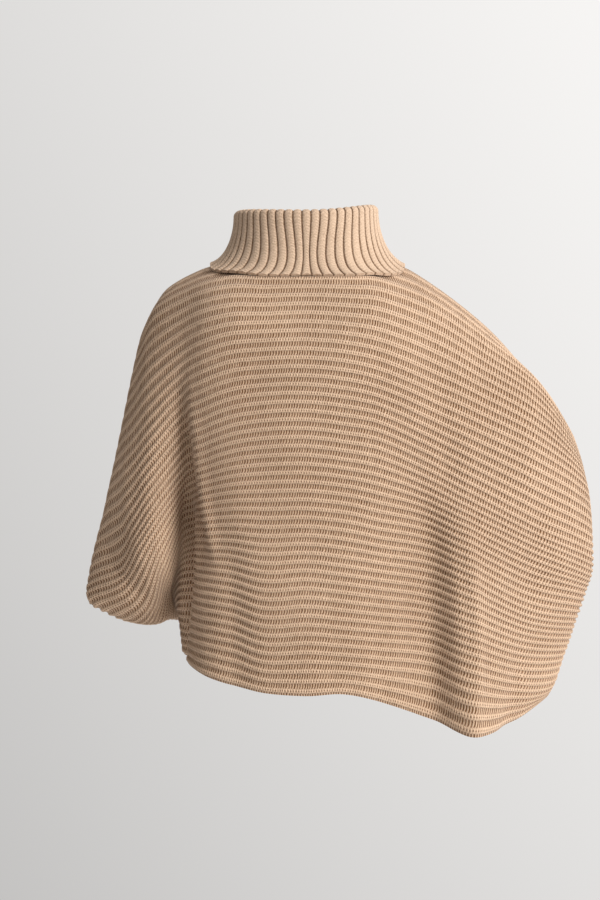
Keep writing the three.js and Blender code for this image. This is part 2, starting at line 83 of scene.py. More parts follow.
# [down the cloth, x, y, z] from here on
SIDE_SEAM = {
    "left": [[288, 301, -10, -480], [340, 258, -28, -502], [390, 222, -52, -509], [440, 197, -84, -507],
             [490, 178, -110, -512], [540, 158, -129, -520], [588, 140, -140, -537]],
    "right": [[288, -397, -28, -440], [340, -390, -40, -467], [390, -381, -47, -494],
              [440, -372, -50, -521], [490, -362, -46, -548], [540, -352, -36, -575],
              [588, -345, -22, -602]],
}
BACK_LINES = {
    "edge left": [[40, 252, -84, -297], [90, 266, -82, -345], [140, 278, -76, -390],
                  [190, 290, -62, -430], [240, 303, -38, -461]],
    "outer left": [[40, 235, -5, -130], [140, 268, 0, -290], [240, 299, 1, -432], [288, 297, 5, -473],
                   [340, 236, 6, -499], [390, 207, -12, -503], [440, 193, -44, -499],
                   [490, 182, -66, -499], [540, 169, -80, -505], [588, 163, -86, -537]],
    "cuff left": [[40, 224, 20, -102], [140, 242, 44, -261], [190, 247, 50, -333], [240, 249, 50, -403],
                  [288, 249, 46, -450], [340, 214, 34, -474], [390, 199, 8, -474],
                  [440, 190, -24, -478], [490, 183, -44, -491], [540, 173, -57, -507],
                  [588, 168, -61, -543]],
    "sleeve left": [[0, 190, -6, -34], [40, 207, 40, -78], [140, 212, 72, -223], [240, 213, 82, -342],
                    [288, 206, 84, -380], [340, 198, 64, -422], [390, 191, 30, -446],
                    [440, 189, -6, -456], [490, 184, -24, -478], [540, 177, -32, -506],
                    [588, 172, -34, -546]],
    "under left": [[40, 158, 70, -54], [140, 167, 90, -176], [240, 166, 68, -280], [288, 166, 53, -318],
                   [340, 167, 44, -356], [390, 168, 38, -392], [440, 170, 30, -425],
                   [490, 170, 26, -465], [540, 168, 26, -513], [588, 165, 30, -556]],
    "blade left": [[40, 132, 86, -46], [140, 138, 112, -160], [240, 138, 104, -262], [340, 140, 92, -346],
                   [440, 140, 82, -425], [540, 140, 76, -520], [588, 138, 76, -570]],
    "neck left": [[40, 100, 94, -41], [140, 100, 124, -147], [240, 100, 123, -248], [340, 100, 118, -340],
                  [440, 100, 108, -430], [540, 100, 98, -528], [588, 100, 96, -581]],
    "nape left": [[0, 68, 50, 3], [40, 60, 97, -42], [140, 55, 128, -143], [340, 55, 127, -340],
                  [588, 55, 109, -590]],
    "middle": [[0, 0, 75, -5], [42, 0, 98, -43], [140, 0, 129, -142], [240, 0, 131, -240],
               [340, 0, 128, -339], [440, 0, 121, -438], [540, 0, 115, -540], [588, 0, 113, -593]],
    "nape right": [[0, -68, 50, 3], [40, -60, 96, -42], [140, -55, 128, -147], [340, -55, 124, -345],
                   [588, -50, 112, -591]],
    "neck right": [[40, -98, 87, -44], [140, -98, 121, -157], [240, -98, 123, -255],
                   [340, -98, 116, -355], [440, -98, 108, -451], [540, -98, 106, -549],
                   [588, -98, 104, -602]],
    "blade right": [[40, -172, 62, -70], [140, -166, 107, -184], [240, -160, 106, -282],
                    [340, -158, 96, -368], [440, -160, 86, -462], [540, -165, 79, -560],
                    [588, -172, 78, -630]],
    "crease right": [[40, -240, 48, -113], [140, -232, 92, -214], [240, -218, 96, -312],
                     [340, -208, 104, -390], [440, -212, 106, -480], [540, -220, 103, -580],
                     [588, -226, 103, -650]],
    "sleeve right": [[40, -318, 34, -170], [140, -315, 66, -254], [240, -312, 64, -360],
                     [288, -310, 62, -397], [340, -306, 58, -438], [390, -304, 56, -481],
                     [440, -298, 56, -516], [490, -294, 52, -556], [540, -293, 46, -599],
                     [588, -288, 40, -636]],
    "outer right": [[40, -370, 6, -242], [140, -387, 4, -302], [240, -397, 2, -398],
                    [288, -397, 2, -434], [340, -387, 2, -462], [390, -375, 2, -496],
                    [440, -365, 2, -527], [490, -353, 2, -560], [540, -342, 2, -597],
                    [588, -335, 2, -610]],
    "edge right": [[40, -381, -58, -270], [90, -392, -46, -300], [140, -399, -36, -332],
                   [190, -402, -30, -370], [240, -401, -28, -408]],
}
FRONT_LINES = {
    "edge left": [[40, 236, -118, -280], [90, 228, -146, -318], [140, 224, -156, -362],
                  [190, 232, -146, -408], [240, 264, -84, -452]],
    "outer left": [[40, 222, -66, -140], [90, 206, -116, -220], [140, 194, -144, -302],
                   [190, 190, -148, -348], [240, 192, -138, -390], [288, 205, -110, -425],
                   [340, 204, -94, -458], [390, 196, -104, -476], [440, 178, -118, -490],
                   [490, 160, -134, -501], [540, 140, -148, -515], [588, 124, -156, -540]],
    "sleeve left": [[40, 190, -44, -68], [90, 178, -94, -150], [140, 162, -126, -240],
                    [190, 152, -136, -292], [240, 148, -140, -335], [288, 148, -138, -378],
                    [340, 150, -130, -420], [440, 134, -140, -478], [540, 106, -164, -515],
                    [588, 95, -176, -546]],
    "under left": [[40, 156, -38, -36], [90, 150, -82, -100], [140, 136, -110, -182],
                   [190, 124, -124, -238], [240, 116, -132, -285], [288, 110, -136, -330],
                   [340, 104, -138, -378], [440, 92, -142, -455], [540, 70, -160, -512],
                   [588, 62, -170, -552]],
    "blade left": [[40, 128, -36, -22], [90, 124, -74, -70], [140, 114, -98, -130],
                   [190, 100, -112, -186], [240, 88, -122, -236], [288, 78, -128, -282],
                   [340, 66, -132, -334], [440, 48, -134, -428], [540, 30, -142, -510],
                   [588, 25, -148, -556]],
    "neck left": [[40, 98, -34, -12], [90, 99, -66, -50], [140, 96, -88, -94], [190, 82, -102, -142],
                  [240, 66, -114, -192], [340, 35, -128, -294], [440, 0, -144, -400],
                  [540, -32, -164, -515], [588, -45, -176, -566]],
    "nape left": [[0, 66, -40, 8], [40, 66, -64, -18], [140, 56, -104, -104], [240, 30, -123, -203],
                  [340, 2, -132, -305], [440, -30, -144, -409], [540, -60, -160, -519],
                  [588, -72, -170, -572]],
    "middle": [[0, 0, -60, 8], [60, 0, -86, -38], [140, -2, -112, -110], [240, -18, -127, -210],
               [340, -40, -134, -312], [440, -62, -140, -415], [540, -88, -148, -524],
               [588, -100, -152, -578]],
    "nape right": [[0, -66, -40, 8], [40, -66, -64, -18], [140, -66, -106, -105],
                   [240, -72, -123, -204], [340, -82, -134, -306], [440, -98, -146, -414],
                   [540, -117, -156, -530], [588, -128, -160, -588]],
    "neck right": [[40, -98, -34, -12], [90, -100, -66, -52], [140, -102, -88, -97],
                   [240, -110, -112, -198], [340, -120, -130, -302], [440, -134, -150, -412],
                   [540, -148, -170, -534], [588, -155, -178, -600]],
    "blade right": [[40, -152, -34, -42], [140, -158, -82, -130], [240, -168, -106, -234],
                    [340, -182, -122, -340], [440, -198, -134, -450], [540, -210, -140, -575],
                    [588, -215, -142, -638]],
    "crease right": [[40, -240, -44, -112], [140, -232, -88, -200], [240, -235, -108, -305],
                     [340, -245, -122, -405], [440, -255, -136, -505], [540, -264, -146, -598],
                     [588, -268, -150, -640]],
    "sleeve right": [[40, -300, -66, -185], [140, -285, -96, -262], [240, -298, -104, -360],
                     [340, -312, -104, -445], [440, -316, -106, -526], [540, -314, -110, -592],
                     [588, -310, -108, -624]],
    "outer right": [[40, -335, -85, -240], [140, -314, -108, -305], [240, -332, -86, -388],
                    [288, -352, -72, -424], [340, -352, -74, -462], [440, -348, -76, -528],
                    [540, -334, -70, -584], [588, -332, -62, -607]],
    "edge right": [[40, -352, -92, -272], [90, -338, -110, -308], [140, -332, -116, -345],
                   [190, -345, -104, -385], [240, -372, -70, -418]],
}


LEAST_LENGTH = 1e-9  # keeps a vector without length from a division by 0


def unit(vectors):
    return vectors / np.maximum(np.linalg.norm(vectors, axis=-1, keepdims=True), LEAST_LENGTH)


def run_along(points):
    steps = np.linalg.norm(np.diff(points, axis=0), axis=1)
    return np.concatenate([[0], np.cumsum(steps)])


def eased(a, leave_a, b, arrive_b, u, reach):
    """A soft way from a to b for u from 0 to 1, with the direction in which it leaves and arrives."""
    return (a * (2 * u**3 - 3 * u**2 + 1) + leave_a * (u**3 - 2 * u**2 + u) * reach
            + b * (3 * u**2 - 2 * u**3) + arrive_b * (u**3 - u**2) * reach)


def smooth_curve(at, points, where):
    """A curve through points at uneven spacing, each point's slope taken from its neighbours."""
    slope = np.empty_like(points)
    slope[1:-1] = (points[2:] - points[:-2]) / (at[2:] - at[:-2])[:, None]
    slope[0] = (points[1] - points[0]) / (at[1] - at[0])
    slope[-1] = (points[-1] - points[-2]) / (at[-1] - at[-2])
    k = np.clip(np.searchsorted(at, where) - 1, 0, len(at) - 2)
    span = (at[k + 1] - at[k])[:, None]
    u = np.clip((where - at[k])[:, None] / span, 0, 1)
    return eased(points[k], slope[k], points[k + 1], slope[k + 1], u, span)


def shoulder_seam(share):
    """Points of the shoulder seam, for shares of the half width from the neck to the sleeves' ends."""
    placed = np.empty((len(share), 3))
    for side, here in (("left", share > 0), ("right", share <= 0)):
        points = np.array(list(SHOULDER[side].values()), float)
        if side == "left":
            points = points[::-1]
        run = run_along(points)
        part = (np.abs(share[here]) - NECK_SHARE) / (1 - NECK_SHARE)
        placed[here] = smooth_curve(run, points, part * run[-1])
    return placed


class Panel:
    """A panel's cloth: share is 1 at its left edge and -1 at its right, down is from the shoulder seam."""

    ANCHORS = {"edge left": 1, "neck left": NECK_SHARE, "middle": 0, "neck right": -NECK_SHARE,
               "edge right": -1}

    def __init__(self, lines, outward, neck_drop, folds):
        self.outward, self.neck_drop, self.folds = outward, neck_drop, folds
        self.upper, self.seams, self.anchors = [], [], []
        for place, (name, knots) in enumerate(lines.items()):
            part, _, side = name.partition(" ")
            start = SHOULDER.get(side, {}).get(part)
            if start and knots[0][0] > 0:
                knots = [[0, *start], *knots]
            seam = SIDE_SEAM[side] if part == "edge" else []
            self.upper.append(np.array([*knots, *seam[:2]], float))
            self.seams.append(np.array(seam, float))
            if name in self.ANCHORS:
                self.anchors.append((-self.ANCHORS[name], place))

    def rows(self, downs):
        crossed = np.empty((len(downs), len(self.upper), 3))
        for n, (upper, seam) in enumerate(zip(self.upper, self.seams)):
            crossed[:, n] = smooth_curve(upper[:, 0], upper[:, 1:], downs)
            below = downs >= SEAM_TOP
            if len(seam) and below.any():
                crossed[below, n] = smooth_curve(seam[:, 0], seam[:, 1:], downs[below])
        return crossed

    def free(self, share, down):
        downs, which = np.unique(down, return_inverse=True)
        order = np.argsort(which, kind="stable")
        ends = np.searchsorted(which[order], np.arange(len(downs) + 1))
        shares, lines = zip(*self.anchors)
        placed = np.empty((len(share), 3))
        for i, row in enumerate(self.rows(downs)):
            here = order[ends[i]:ends[i + 1]]
            run = run_along(row)
            placed[here] = smooth_curve(run, row, np.interp(-share[here], shares, run[list(lines)]))
        return placed

    def hang(self, share, down):
        """The cloth drawn in to the shoulder seam that both panels share."""
        placed = self.free(share, down)
        near = (down < SEAM_BLEND) & (np.abs(share) >= NECK_SHARE)
        if near.any():
            pull = shoulder_seam(share[near]) - self.free(share[near], np.zeros(near.sum()))
            placed[near] += pull * (1 - down[near] / SEAM_BLEND)[:, None]
        return placed

    def slopes(self, place, share, down):
        s = PROBE / HALF_WIDTH
        across = place(np.minimum(share + s, 1), down) - place(np.maximum(share - s, -1), down)
        above, below = np.maximum(down - PROBE, 0), np.minimum(down + PROBE, LENGTH)
        along = (place(share, below) - place(share, above)) / (below - above)[:, None]
        return self.outward * np.cross(unit(across), along)

    def point(self, share, down):
        """The cloth with its softer creases, which fade out towards the seams."""
        placed = self.hang(share, down)
        depth = np.zeros(len(share))
        for fold in self.folds:
            depth += fold_depth(fold, share, down)
        inset = np.minimum(np.minimum(down, 2 * SEAM_BLEND), (1 - np.abs(share)) * HALF_WIDTH)
        depth *= np.clip(inset / SEAM_BLEND, 0, 1) ** 2
        moved = np.abs(depth) > FAINT_FOLD
        if moved.any():
            facing = unit(self.slopes(self.hang, share[moved], down[moved]))
            placed[moved] += facing * depth[moved, None]
        return placed

    def neckline(self, share):
        across = np.minimum(np.abs(share) / NECK_SHARE, 1)
        return self.neck_drop * np.sqrt(1 - across**2)


FAINT_FOLD = 0.05  # mm, the least depth of creases that moves the cloth
FOLD_END = 0.3  # share of its run over which a crease comes up, and over which it dies away


def fold_depth(fold, share, down):
    """One soft crease: a ridge where deep is above 0, a trough where it is below."""
    part = (down - fold["top"]) / (fold["foot"] - fold["top"])
    middle = fold["from"] + (fold["to"] - fold["from"]) * np.clip(part, 0, 1)
    ends = np.clip(np.minimum(part / FOLD_END, (1 - part) / FOLD_END), 0, 1)
    off = (share - middle) * HALF_WIDTH / fold["wide"]
    return fold["deep"] * np.exp(-off**2) * ends**2 * (3 - 2 * ends)


# where each crease starts and ends on the cloth, in shares and in mm down it, its half width and its depth
BACK_FOLDS = [
    {"top": 110, "foot": 460, "from": 0.345, "to": 0.27, "wide": 10, "deep": 6},
    {"top": 110, "foot": 460, "from": 0.39, "to": 0.34, "wide": 13, "deep": -10},
    {"top": 250, "foot": 640, "from": 0.40, "to": 0.56, "wide": 20, "deep": -19},
    {"top": 230, "foot": 700, "from": -0.445, "to": -0.60, "wide": 13, "deep": 5},
    {"top": 260, "foot": 640, "from": -0.36, "to": -0.42, "wide": 26, "deep": -5},
    {"top": 60, "foot": 330, "from": -0.34, "to": -0.46, "wide": 24, "deep": -3},
    {"top": 90, "foot": 420, "from": 0.17, "to": 0.10, "wide": 30, "deep": -2.5},
    {"top": 330, "foot": 700, "from": 0.21, "to": 0.16, "wide": 20, "deep": -3},
    {"top": 400, "foot": 700, "from": 0.02, "to": -0.03, "wide": 26, "deep": 2.5},
    {"top": 440, "foot": 720, "from": -0.19, "to": -0.24, "wide": 18, "deep": -3},
    {"top": 420, "foot": 720, "from": -0.70, "to": -0.74, "wide": 18, "deep": -3},
    {"top": 180, "foot": 420, "from": -0.74, "to": -0.66, "wide": 26, "deep": -3},
    {"top": 100, "foot": 330, "from": 0.62, "to": 0.70, "wide": 20, "deep": 3},
    {"top": 150, "foot": 360, "from": 0.80, "to": 0.78, "wide": 16, "deep": -2.5},
]
FRONT_FOLDS = [
    {"top": 90, "foot": 460, "from": 0.30, "to": 0.12, "wide": 24, "deep": -6},
    {"top": 150, "foot": 700, "from": -0.30, "to": -0.38, "wide": 26, "deep": -5},
    {"top": 220, "foot": 700, "from": 0.06, "to": 0.02, "wide": 22, "deep": 4},
    {"top": 60, "foot": 340, "from": -0.44, "to": -0.60, "wide": 18, "deep": 4},
    {"top": 320, "foot": 720, "from": -0.62, "to": -0.58, "wide": 20, "deep": -4},
    {"top": 300, "foot": 640, "from": 0.44, "to": 0.50, "wide": 20, "deep": -4},
    {"top": 400, "foot": 720, "from": -0.14, "to": -0.17, "wide": 16, "deep": -3},
    {"top": 110, "foot": 300, "from": 0.62, "to": 0.56, "wide": 16, "deep": 3},
]
back = Panel(BACK_LINES, 1, NECK_DROP["back"], BACK_FOLDS)
front = Panel(FRONT_LINES, -1, NECK_DROP["front"], FRONT_FOLDS)


def outward_at(panel, share, down):
    """Outward direction of the wall, the panel's own one, and how far apart the ribs lie.

    At a seam both panels share one outward direction.
    """
    slopes = panel.slopes(panel.point, share, down)
    own = unit(slopes)
    side = np.where(share < 0, -1, 1)
    from_side = np.where(down >= SEAM_TOP - RIB_PITCH, (1 - np.abs(share)) * HALF_WIDTH, SEAM_BLEND)
    from_shoulder = np.hypot(down, np.maximum(NECK_SHARE - np.abs(share), 0) * HALF_WIDTH)
    nearest = np.minimum(from_side, from_shoulder)
    near = nearest < SEAM_BLEND
    at_side = from_side < from_shoulder
    seam_share = np.where(at_side, side, side * np.maximum(np.abs(share), NECK_SHARE))[near]
    seam_down = np.where(at_side, down, 0)[near]
    shared = unit(sum(unit(p.slopes(p.hang, seam_share, seam_down)) for p in (back, front)))
    part = (nearest[near] / SEAM_BLEND)[:, None]
    outward = own.copy()
    outward[near] = unit(own[near] * part + shared * (1 - part))
    return outward, own, np.linalg.norm(slopes, axis=1)


def clear_of_seam(panel, share, down, outward, own):
    """Half the seam's gap, away from the other panel."""
    on_shoulder = (down == 0) & (np.abs(share) >= NECK_SHARE)
    on_side = (np.abs(share) == 1) & (down >= SEAM_TOP)
    shift = np.zeros((len(share), 3))
    for here, in_share, in_down in ((on_shoulder, 1, PROBE), (on_side, 1 - PROBE / HALF_WIDTH, 0)):
        inward = unit(panel.point(share[here] * in_share, down[here] + in_down)
                      - panel.point(share[here], down[here]))
        lean = inward + own[here]
        lean -= outward[here] * (lean * outward[here]).sum(1, keepdims=True)
        shift[here] = unit(lean) * SEAM_GAP / 2
    return shift


# Rib and stitches
# A fisherman's rib: thick raised ridges, and channels half a rib wide between them where the yarn crosses
# in slanted bars. One stitch is 3.5 mm along the rib, and on the sleeves the cloth's pull makes it longer.
STITCH = 3.5
SLEEVE_SHARE = 0.3  # share of the half width where the pull starts
SLEEVE_PULL = 0.6  # and how much longer a stitch is at the sleeve's end
RIB_FOOT = 0.5  # height of a channel's bottom, and of a ridge's top, over the middle of the wall
RIB_TOP = 3.1
RIB_FLAT = 0.1  # half the ridge's flat top, and half the width at its foot, as shares of the pitch
RIB_WIDE = 0.4
ROWS_A_RIB = 8
INNER_ROWS_A_RIB = 2
COLUMN_STEP = 5  # mm along a rib, and twice that on the inner face


def rib_height(ribs, rise):
    """Height of the outer face for a place counted in ribs, low at whole numbers and high between them."""
    from_ridge = np.abs(ribs % 1 - 0.5)
    part = np.clip((RIB_WIDE - from_ridge) / (RIB_WIDE - RIB_FLAT), 0, 1)
    return RIB_FOOT + (RIB_TOP - RIB_FOOT) * part**2 * (3 - 2 * part) * rise


def panel_columns(step):
    half = np.linspace(NECK_SHARE, 1, round((1 - NECK_SHARE) * HALF_WIDTH / step) + 1)[::-1]
    neck = NECK_SHARE * np.cos(np.linspace(0, math.pi / 2, round(NECK_SHARE * HALF_WIDTH / step) + 3))[1:]
    neck[-1] = 0
    return np.concatenate([half, neck, -neck[-2::-1], -half[::-1]])


SAME_PLACE = 0.0005  # mm
SMOOTH_ANGLE = math.radians(60)


class Cloth:
    """Points of one closed wall, each with its place in stitches and ribs, and the faces between them."""

    def __init__(self):
        self.points, self.stitches, self.faces = [], [], []
        self.count = 0

    def grid(self, points, stitches, flip=False):
        down, across = points.shape[:2]
        first = self.count
        self.points.append(points.reshape(-1, 3))
        self.stitches.append(stitches.reshape(-1, 2))
        self.count += down * across
        ids = np.arange(first, self.count).reshape(down, across)
        quads = np.stack([ids[:-1, :-1], ids[1:, :-1], ids[1:, 1:], ids[:-1, 1:]], -1).reshape(-1, 4)
        self.faces.extend((quads[:, ::-1] if flip else quads).tolist())
        return ids

    def rim(self, outer, inner, flip=False):
        """The wall's edge, from a run of outer points to a run of inner points, the nearest ones joined."""
        points = np.concatenate(self.points)
        i = j = 0
        while i < len(outer) - 1 or j < len(inner) - 1:
            next_outer = next_inner = math.inf
            if i < len(outer) - 1:
                next_outer = np.linalg.norm(points[outer[i + 1]] - points[inner[j]])
            if j < len(inner) - 1:
                next_inner = np.linalg.norm(points[outer[i]] - points[inner[j + 1]])
            if next_outer <= next_inner:
                face = [outer[i], outer[i + 1], inner[j]]
                i += 1
            else:
                face = [outer[i], inner[j + 1], inner[j]]
                j += 1
            self.faces.append([int(k) for k in (face[::-1] if flip else face)])

    def piece(self, name, material, slot):
        mesh = bpy.data.meshes.new(name)
        mesh.from_pydata(np.concatenate(self.points) * MM, [], self.faces)
        corners = np.empty(len(mesh.loops), np.int32)
        mesh.loops.foreach_get("vertex_index", corners)
        stitches = mesh.uv_layers.new(name="stitches")
        stitches.data.foreach_set("uv", np.concatenate(self.stitches)[corners].ravel())
        shaped = bmesh.new()
        shaped.from_mesh(mesh)
        bmesh.ops.remove_doubles(shaped, verts=shaped.verts, dist=SAME_PLACE * MM)
        shaped.to_mesh(mesh)
        shaped.free()
        made = bpy.data.objects.new(name, mesh)
        scene.collection.objects.link(made)
        bpy.ops.object.select_all(action="DESELECT")
        made.select_set(True)
        bpy.context.view_layer.objects.active = made
        bpy.ops.object.shade_smooth_by_angle(angle=SMOOTH_ANGLE)
        mesh.materials.append(material)
        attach(made, "root")
        return made


def panel_cloth(panel):
    cloth = Cloth()
    faces = []
    for step, rows_a_rib, outer in ((COLUMN_STEP, ROWS_A_RIB, True),
                                    (2 * COLUMN_STEP, INNER_ROWS_A_RIB, False)):
        columns = panel_columns(step)
        levels = np.arange(RIBS_DOWN * rows_a_rib + 1) * RIB_PITCH / rows_a_rib
        share = np.tile(columns, len(levels))
        down = np.maximum(np.repeat(levels, len(columns)), panel.neckline(share))
        outward, own, apart = outward_at(panel, share, down)
        if outer:
            height = rib_height(down / RIB_PITCH, np.minimum(apart / FULL_RISE, 1) ** 2)
        else:
            height = INSIDE / np.maximum((outward * own).sum(1), SHARPEST_MITRE)
        places = panel.point(share, down) + outward * height[:, None]
        places += clear_of_seam(panel, share, down, outward, own)
        shape = (len(levels), len(columns))
        pulled = 1 + SLEEVE_PULL * np.clip((np.abs(columns[1:]) - SLEEVE_SHARE) / (1 - SLEEVE_SHARE), 0, 1)
        steps = np.linalg.norm(np.diff(places.reshape(*shape, 3), axis=1), axis=2) / (STITCH * pulled)
        run = np.pad(steps.cumsum(1), ((0, 0), (1, 0)))
        run -= run[:, len(columns) // 2, None]
        stitches = np.stack([run.ravel(), down / RIB_PITCH], -1)
        faces.append(cloth.grid(places.reshape(*shape, 3), stitches.reshape(*shape, 2),
                                flip=outer == (panel.outward < 0)))
    shown, hidden = faces
    flip = panel.outward < 0
    cloth.rim(shown[0], hidden[0], flip)
    cloth.rim(shown[:, -1], hidden[:, -1], flip)
    cloth.rim(shown[-1, ::-1], hidden[-1, ::-1], flip)
    cloth.rim(shown[::-1, 0], hidden[::-1, 0], flip)
    return cloth


# The yarn
# Camel beige wool blend, matt and a little hairy. Its colour varies softly from place to place, and painted
# shade darkens it in the channels, where light doesn't reach between the bars of yarn, and in the hollows
# between the strands.
class Socket:
    """One output of a material's nodes. Sums on it add the Math nodes that work them out."""

    def __init__(self, tree, out):
        self.tree, self.out = tree, out

    def node(self, kind, settings=None, inputs=None, output=0):
        made = self.tree.nodes.new(kind)
        for name, value in (settings or {}).items():
            setattr(made, name, value)
        for name, value in (inputs or {}).items():
            if isinstance(value, Socket):
                self.tree.links.new(value.out, made.inputs[name])
            else:
                made.inputs[name].default_value = value
        return Socket(self.tree, made.outputs[output])

    def math(self, operation, *values):
        return self.node("ShaderNodeMath", {"operation": operation}, dict(enumerate(values)))

    def __add__(self, other):
        return self.math("ADD", self, other)

    def __sub__(self, other):
        return self.math("SUBTRACT", self, other)

    def __rsub__(self, other):
        return self.math("SUBTRACT", other, self)

    def __mul__(self, other):
        return self.math("MULTIPLY", self, other)

    def __abs__(self):
        return self.math("ABSOLUTE", self)

    __radd__ = __add__
    __rmul__ = __mul__

    def part_of_one(self):
        return self.math("FRACT", self)

    def wave(self):
        return self.math("COSINE", self * (2 * math.pi))

    def fade(self, zero, one):
        """0 up to zero and 1 from one on, soft in between, whichever of the two is larger."""
        return self.node("ShaderNodeMapRange", {"interpolation_type": "SMOOTHSTEP"},
                         {"Value": self, "From Min": zero, "From Max": one})

    def noise(self, scale, detail=2.0):
        return self.node("ShaderNodeTexNoise", {"noise_dimensions": "3D"},
                         {"Vector": self, "Scale": scale, "Detail": detail})

    def mix(self, low, high):
        made = self.tree.nodes.new("ShaderNodeMix")
        made.data_type = "RGBA"
        self.tree.links.new(self.out, made.inputs[0])
        for place, colour in ((6, low), (7, high)):
            if isinstance(colour, Socket):
                self.tree.links.new(colour.out, made.inputs[place])
            else:
                made.inputs[place].default_value = colour
        return Socket(self.tree, made.outputs[2])


BUMP_DEPTH = 0.0014  # m
BUMP_STRENGTH = 0.9
UNEVEN = 0.8  # noise that changes from stitch to stitch
DRIFT = 0.17  # noise that changes over some six stitches
WANDER = 8.0  # noise that changes over some 12 cm of cloth
FIBRE = (620.0, 3.0)  # noise as fine as the yarn's strands, with its detail
HAIR = (1500.0, 1.0)  # noise as fine as its loose hairs
LIGHTEST_SHADE = -0.30
DARKEST_SHADE = 1.15
MATT = {"Roughness": 0.95, "Specular IOR Level": 0.12, "Sheen Weight": 0.12, "Sheen Roughness": 0.6}


def knit(name, light, dark, stitches):
    """The yarn over one rib. stitches gives the marks: sockets for height and for painted shade, from the
    place.
    """
    material = bpy.data.materials.new(name)
    material.use_nodes = True
    tree = material.node_tree
    shader = tree.nodes["Principled BSDF"]
    start = Socket(tree, None)
    place = start.node("ShaderNodeUVMap", {"uv_map": "stitches"})
    body = start.node("ShaderNodeTexCoord", output=3)
    uneven = place.noise(UNEVEN) - 0.5
    drift = place.noise(DRIFT) - 0.5
    along = place.node("ShaderNodeSeparateXYZ", inputs={0: place}) + 1.1 * drift
    ribs = place.node("ShaderNodeSeparateXYZ", inputs={0: place}, output=1) + 0.10 * drift + 0.07 * uneven
    height, shade = stitches(along, ribs, uneven)
    fibre = body.noise(*FIBRE) - 0.5
    hair = body.noise(*HAIR) - 0.5
    wander = body.noise(WANDER) - 0.5
    height = height + 0.5 * fibre + 0.2 * hair
    # the stitches' painted shade, with the yarn's random tone from the noise added to it, sets the base
    # colour between light and dark
    shade = shade + 1.0 * fibre + 0.5 * hair + 0.30 * wander + 0.15 * drift
    colour = shade.fade(LIGHTEST_SHADE, DARKEST_SHADE).mix(light, dark)
    bump = start.node("ShaderNodeBump", inputs={
        "Strength": BUMP_STRENGTH, "Distance": BUMP_DEPTH, "Height": height})
    tree.links.new(colour.out, shader.inputs["Base Color"])
    tree.links.new(bump.out, shader.inputs["Normal"])
    for name, value in MATT.items():
        shader.inputs[name].default_value = value
    return material


# from the middle of a channel or a ridge in ribs, or along it in waves: where a mark fades out, and is full
CHANNEL_WALL = (0.34, 0.20)
BAR_GAP = (0.32, 0.12)
HOLLOW_LENGTH = (0.0, 0.9)
HOLLOW_WIDTH = (0.09, 0.03)
BAR_SLANT = 0.55  # stitches that a bar moves along in the width of a rib
BAR_BEND = 2.4
STRAND_SLANT = 1.5


def body_stitches(along, ribs, uneven):
    """Slanted bars across the channel, and a ridge of two light strands with a dotted hollow between them.
    The gaps, the channel, the hollows and the loops' sides are painted darker as painted shade.
    """
    from_ridge = ribs.part_of_one() - 0.5
    from_channel = (ribs + 0.5).part_of_one() - 0.5
    channel = abs(from_channel).fade(*CHANNEL_WALL)
    bar = along + BAR_SLANT * from_channel + BAR_BEND * from_channel * from_channel
    gap = abs(bar.part_of_one() - 0.5).fade(*BAR_GAP) * channel * (0.85 + 1.2 * uneven)
    ridge_hollow = along.wave().fade(*HOLLOW_LENGTH) * abs(from_ridge).fade(*HOLLOW_WIDTH)
    loops = 0.5 + 0.5 * (along + 0.5 + STRAND_SLANT * abs(from_ridge)).wave()
    height = 0.5 * loops * (1 - channel) - 1.1 * gap - 0.6 * ridge_hollow
    # painted shade: the base colour is darkened in the gaps between the bars, over the channel, in the
    # ridge's dotted hollows and between its loops
    shade = 0.95 * gap + 0.16 * channel + 0.60 * ridge_hollow + 0.22 * (1 - loops) * (1 - channel)
    return height, shade


# the yarn's colour in full light, and the colour of its painted shade in the gaps and channels, which is
# also the dark end of its random tone
BODY_LIGHT = (0.71, 0.505, 0.35, 1)
BODY_DARK = (0.165, 0.07, 0.02, 1)
body_knit = knit("body_knit", BODY_LIGHT, BODY_DARK, body_stitches)

# The back panel
# It carries the large shapes that show: the raised blades, the hanging left sleeve and the plane below the
# bend of the right one. It is one sheet, sewn to the front at the shoulders and the sides.
back_knit = panel_cloth(back).piece("back_knit", body_knit, "body_knit")
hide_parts("back_panel")

# The front panel
# It is cut like the back but for a deeper neck, and hangs in loose folds below the chest.
front_knit = panel_cloth(front).piece("front_knit", body_knit, "body_knit")
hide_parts("front_panel")

# The collar
# A tube of 50 upright ribs, taken up from the neck opening and folded over once, so that its turned-down
# layer flares over the shoulders.
COLLAR_RIBS = 50
FOLD_RADIUS = 5  # of the wall's middle where it turns over
FOOT_REACH = 0.5  # how strongly the stand keeps the foot's direction as it leaves the neck
STAND = {"half width": 88.4, "back": 78, "front": 80}
FOLD_TOP = {"left": 71, "right": 79, "back": 64, "front": 63}
EDGE = {"share": 0.285, "back": 27, "front": 54, "corner": 10, "roundness": 0.7}
EDGE_BEYOND = 1.05  # a place just past the edge, towards which the edge's cloth points
EDGE_FAN = 0.2  # how much closer together than even the ribs' ends lie at the middle
REST_GAP = 0.8  # between the edge and the body's ribs
POINTS_A_RIB = 8
COLLAR_ROWS = {"stand": 14, "fold": 8, "fall": 30}
UP = np.array([0, 0, 1.0])


def bridge(a, leave_a, b, arrive_b, u):
    return eased(a, leave_a, b, arrive_b, u, np.linalg.norm(b - a, axis=-1, keepdims=True))


def both_panels(turn, work):
    """Results of work for each panel where that panel lies under the collar."""
    made = np.empty((len(turn), 3))
    for panel, here in ((back, turn <= 0.5), (front, turn > 0.5)):
        angle = 2 * math.pi * turn[here]
        made[here] = work(panel, np.cos(angle), np.abs(np.sin(angle)))
    return made


